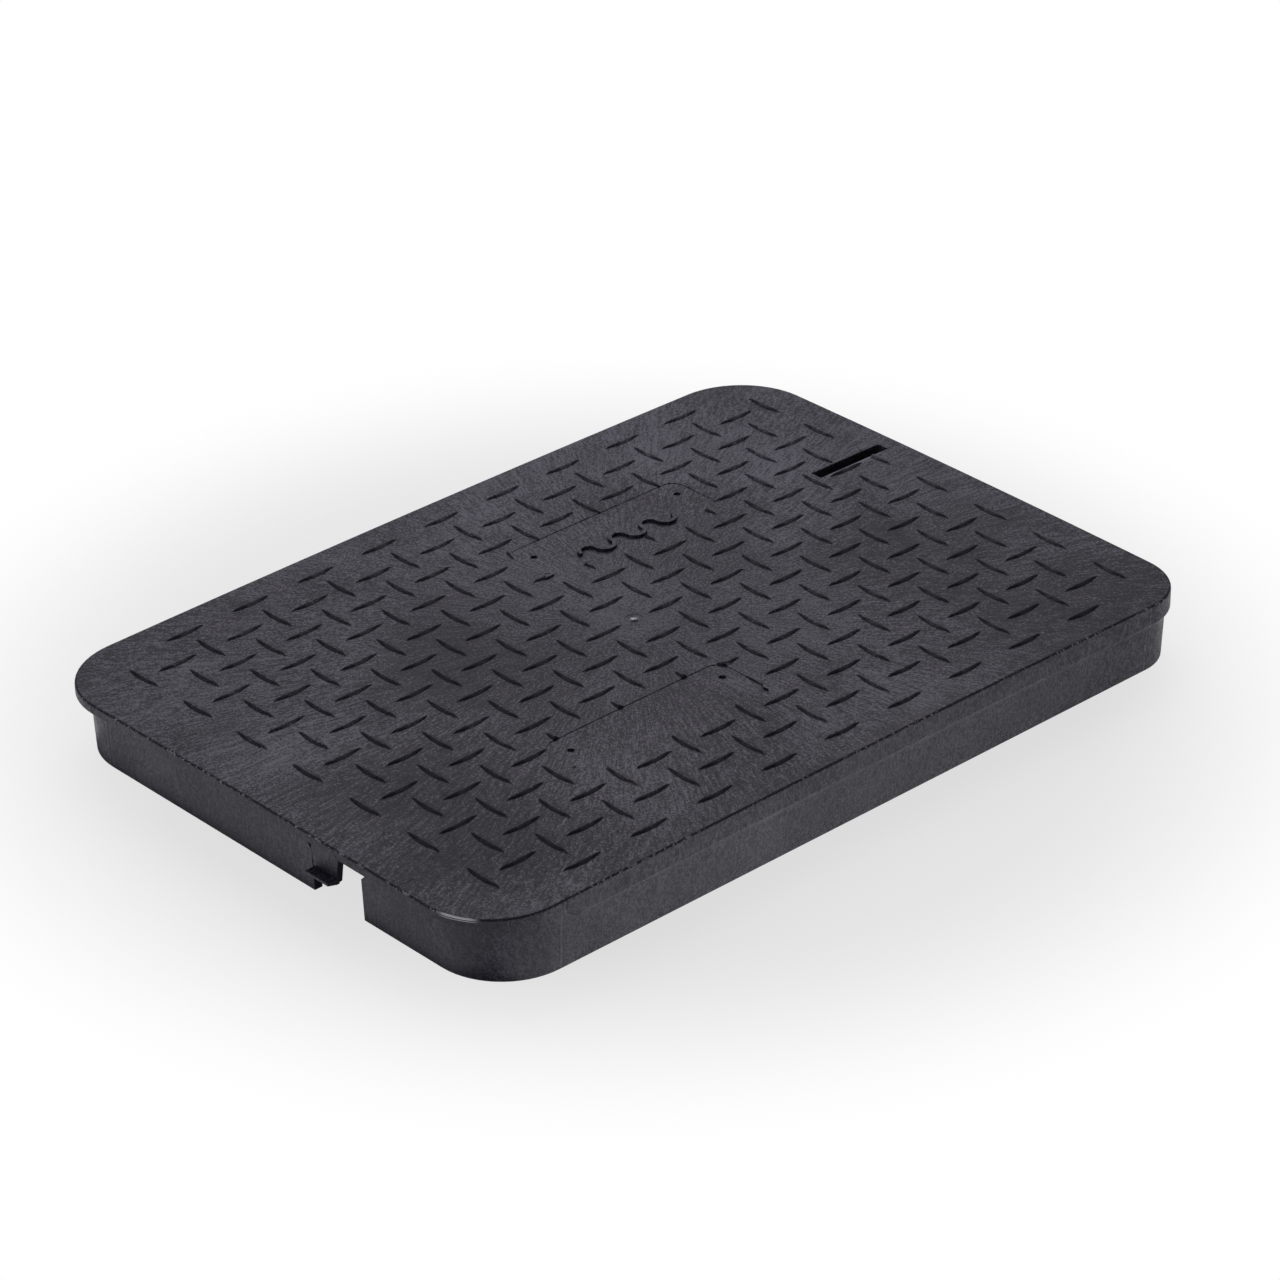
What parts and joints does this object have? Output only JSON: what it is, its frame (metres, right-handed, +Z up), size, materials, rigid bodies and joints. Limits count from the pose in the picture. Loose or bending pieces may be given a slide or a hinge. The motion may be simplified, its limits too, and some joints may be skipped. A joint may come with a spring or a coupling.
{
  "type": "water meter box cover",
  "caption": "Rectangular moulded plastic cover for an in-ground meter box, with a raised bar tread, a ribbed underside, a lifting slot and a spring finger.",
  "frame": {"origin": "middle of the bounding box, at the foot of the skirt", "axes": "+X along the long sides, away from the spring finger; +Y towards the side nearer the lifting slot; +Z up out of the tread"},
  "size_m": [0.437, 0.3, 0.0392],
  "materials": {
    "cover_plastic": "matt, faintly cloudy, as moulded"
  },
  "bodies": {
    "root": {"meter_box_cover": "cover_plastic"}
  },
  "joints": []
}
